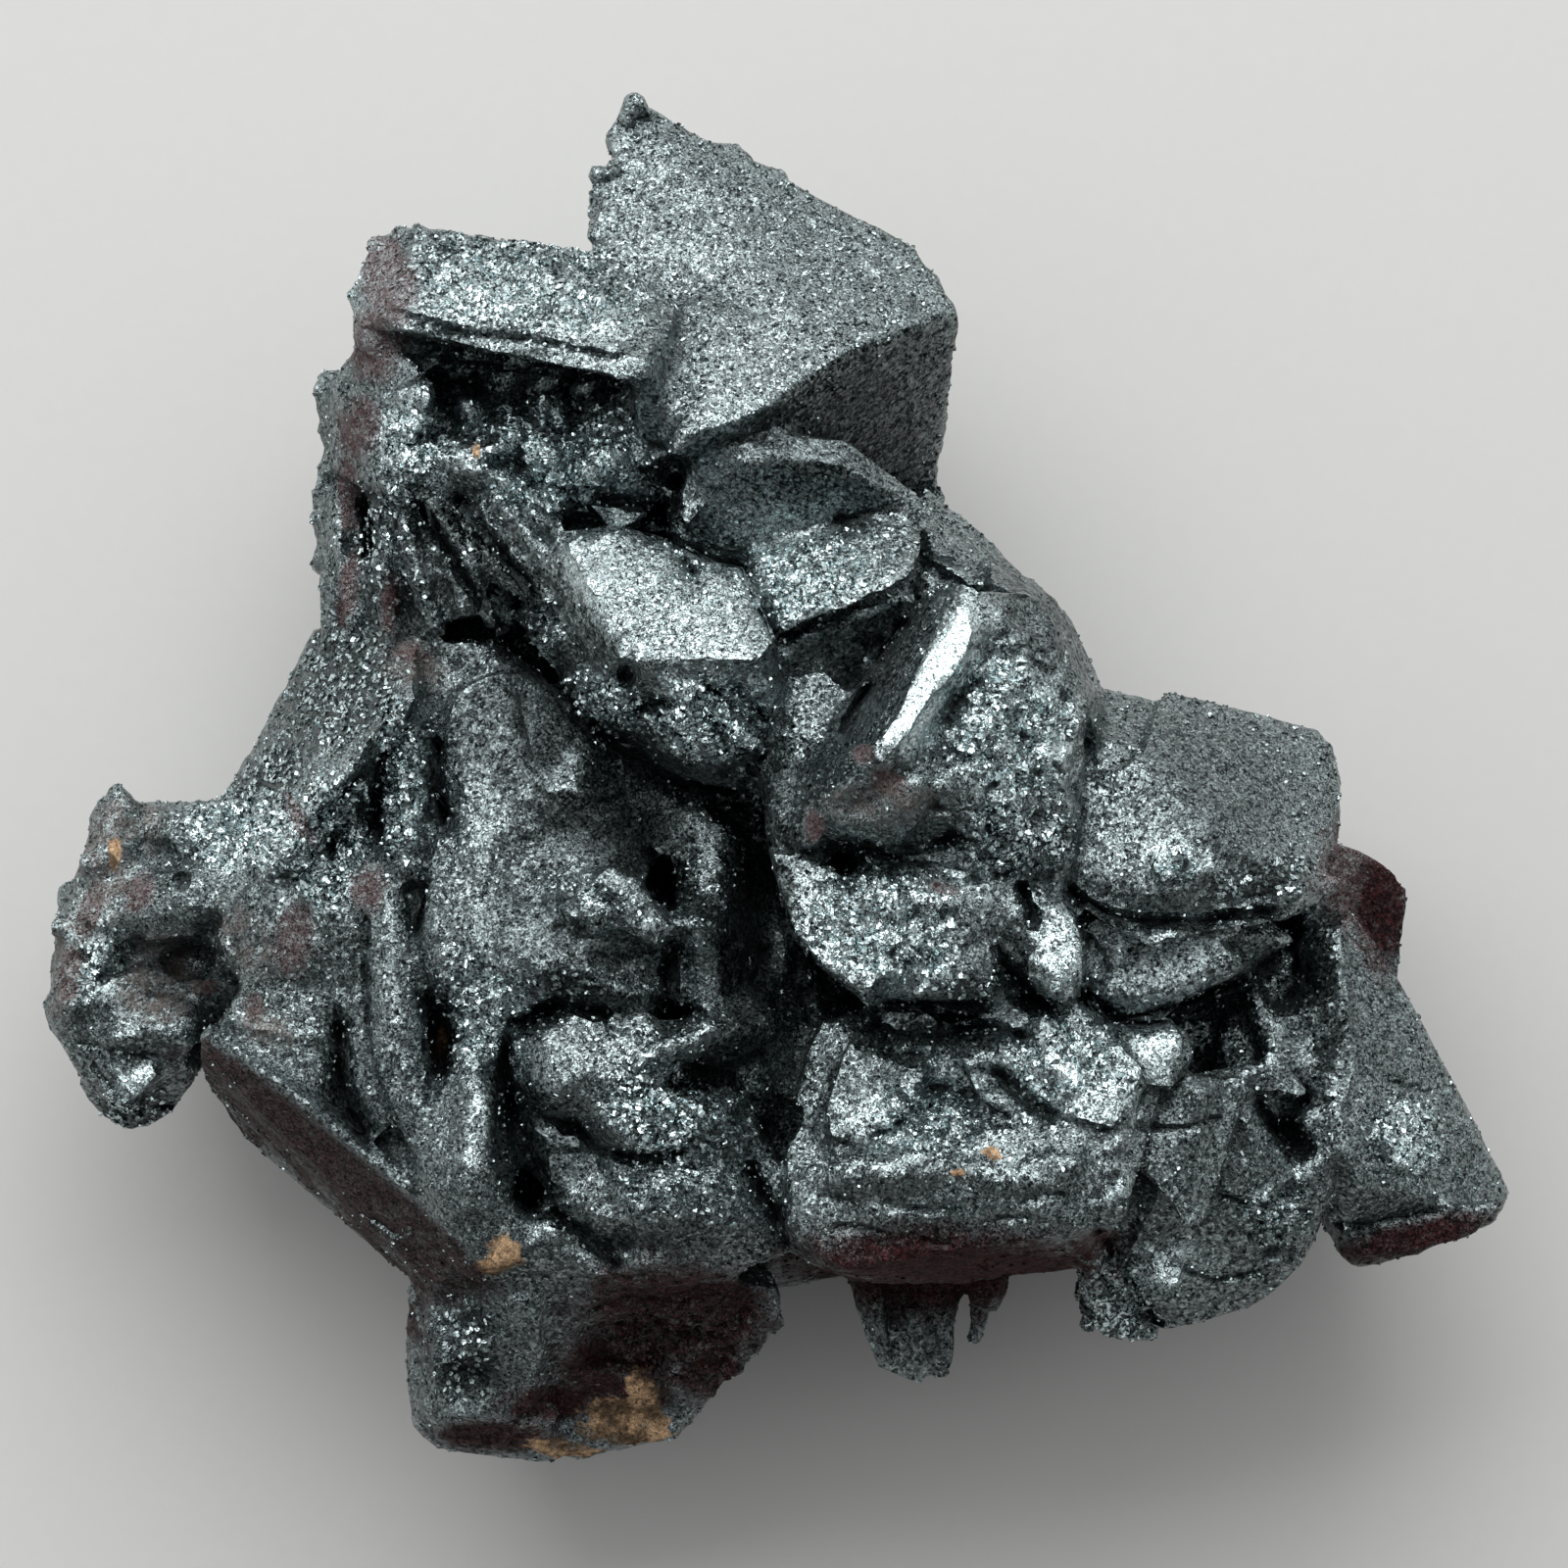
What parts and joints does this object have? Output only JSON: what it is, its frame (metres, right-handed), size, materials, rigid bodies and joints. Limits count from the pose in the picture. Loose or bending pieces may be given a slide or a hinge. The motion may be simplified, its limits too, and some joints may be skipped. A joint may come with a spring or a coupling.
{
  "type": "hematite pseudomorph crystal cluster",
  "caption": "Cluster of intergrown octahedral crystals of hematite after magnetite, with glittering dark metallic faces and black hollows; a mineral specimen that lies on a flat break",
  "frame": {"origin": "centre of the bounding box in plan, at the height of the flat break that the specimen rests on", "axes": "+Z out of the crystal face, away from the flat break; +Y towards the largest crystal; +X to the right when the face is looked down on with +Y up"},
  "size_m": [0.121, 0.1118, 0.0577],
  "materials": {
    "dark_hematite": "dark grey metallic lustre with bright platy glitter"
  },
  "bodies": {
    "root": {"crystal_cluster": "dark_hematite"}
  },
  "joints": []
}
